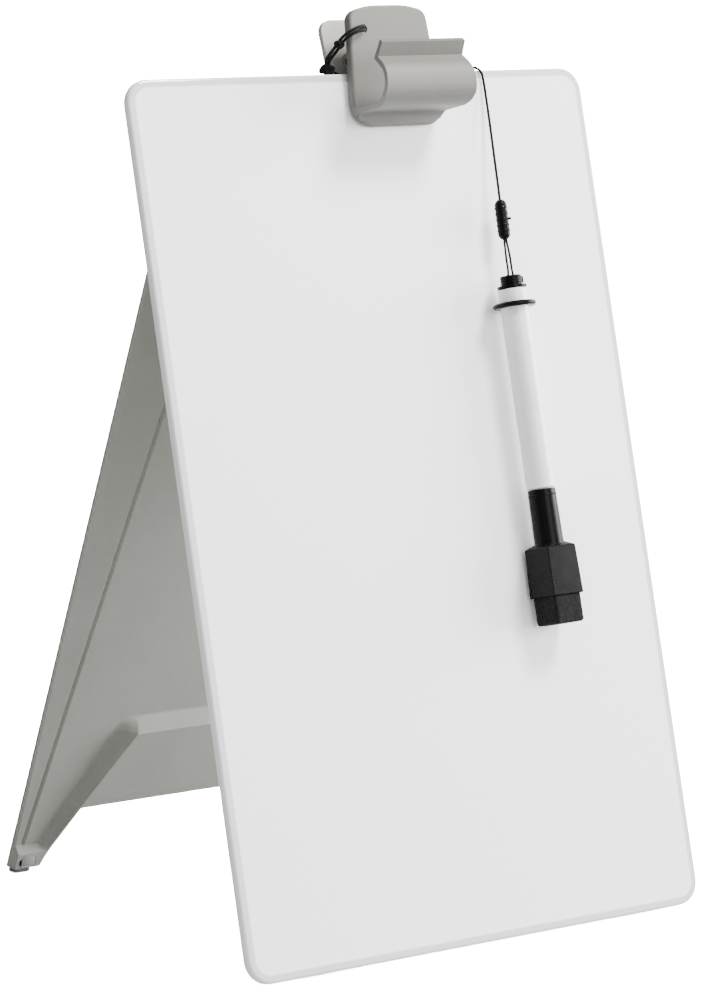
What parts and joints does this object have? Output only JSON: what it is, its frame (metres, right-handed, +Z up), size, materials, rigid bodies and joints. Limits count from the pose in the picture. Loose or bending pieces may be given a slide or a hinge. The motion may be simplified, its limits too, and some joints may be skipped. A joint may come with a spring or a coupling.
{
  "type": "desktop glass whiteboard",
  "caption": "Glass writing panel that leans on a folding rear leg, with a spring clip that carries a pen holder and a capped marker hanging on a cord.",
  "frame": {"origin": "on the floor, under the middle of the object's box", "axes": "+X to the right along the board, +Y backwards from the writing face, +Z up"},
  "size_m": [0.2, 0.1906, 0.3357],
  "materials": {
    "toughened_clear_glass": "polished",
    "white_coating": "smooth",
    "warm_grey_moulded_plastic": "satin",
    "grey_moulded_plastic": "fine texture",
    "clear_rubber": "satin",
    "dark_grey_rubber": "matt",
    "white_foam_tape": "matt",
    "bright_steel": "bright",
    "black_braided_cord": "braided",
    "black_moulded_plastic": "satin",
    "white_moulded_plastic": "satin",
    "black_felt": "felted",
    "ink_fibre": "matt"
  },
  "bodies": {
    "board": {"glass_panel": "toughened_clear_glass", "white_backing": "white_coating", "mounting_tape": "white_foam_tape", "hinge_bracket": "warm_grey_moulded_plastic", "hinge_pin": "bright_steel", "pin_cap_left": "black_moulded_plastic", "pin_cap_right": "black_moulded_plastic", "board_foot_left": "clear_rubber", "board_foot_right": "clear_rubber"},
    "leg": {"support_leg": "grey_moulded_plastic", "leg_foot_pad_left": "dark_grey_rubber", "leg_foot_pad_right": "dark_grey_rubber"},
    "clip": {"clip_front_grip": "warm_grey_moulded_plastic", "clip_front_pad": "dark_grey_rubber", "clip_pivot_pin": "bright_steel", "clip_spring": "bright_steel", "lanyard_stop_knot": "black_braided_cord", "lanyard_upper_strand": "black_braided_cord", "lanyard_lower_strand": "black_braided_cord", "lanyard_small_knot": "black_braided_cord", "lanyard_big_knot": "black_braided_cord", "lanyard_cord": "black_braided_cord"},
    "lever": {"clip_rear_lever": "warm_grey_moulded_plastic", "clip_rear_pad": "dark_grey_rubber"},
    "cord_end": {"cord_lock": "black_moulded_plastic"},
    "marker": {"pen_loop": "black_braided_cord", "marker_end_plug": "black_moulded_plastic", "marker_barrel": "white_moulded_plastic", "marker_ring": "black_moulded_plastic", "ink_reservoir": "ink_fibre", "marker_tip": "black_moulded_plastic", "marker_nib": "ink_fibre"},
    "cap": {"marker_cap": "black_moulded_plastic", "marker_eraser": "black_felt"}
  },
  "joints": [
    {"name": "leg_fold", "type": "hinge", "parent": "board", "child": "leg", "pos_m": [0, -0.01077, 0.26939], "axis": [1, 0, 0], "range_deg": [-34.5, 0]},
    {"name": "clip_slide", "type": "slide", "parent": "board", "child": "clip", "axis": [1, 0, 0], "range_m": [-0.075, 0.03]},
    {"name": "clip_squeeze", "type": "hinge", "parent": "clip", "child": "lever", "pos_m": [0.012, -0.00966, 0.3153], "axis": [1, 0, 0], "range_deg": [0, 15], "stiffness_Nm_per_rad": 0.4, "springref_deg": -28.65, "deforming": ["clip_spring"]},
    {"name": "cord_lift", "type": "hinge", "parent": "clip", "child": "cord_end", "pos_m": [0.04883, -0.03509, 0.26194], "axis": [1, 0, 0], "range_deg": [-75, 0]},
    {"name": "marker_swing", "type": "hinge", "parent": "cord_end", "child": "marker", "pos_m": [0.04835, -0.03817, 0.25157], "axis": [0, 0.9677, -0.2521], "range_deg": [-25, 25]},
    {"name": "cap_pull", "type": "slide", "parent": "marker", "child": "cap", "axis": [0, -0.2521, -0.9677], "range_m": [0, 0.03]}
  ]
}
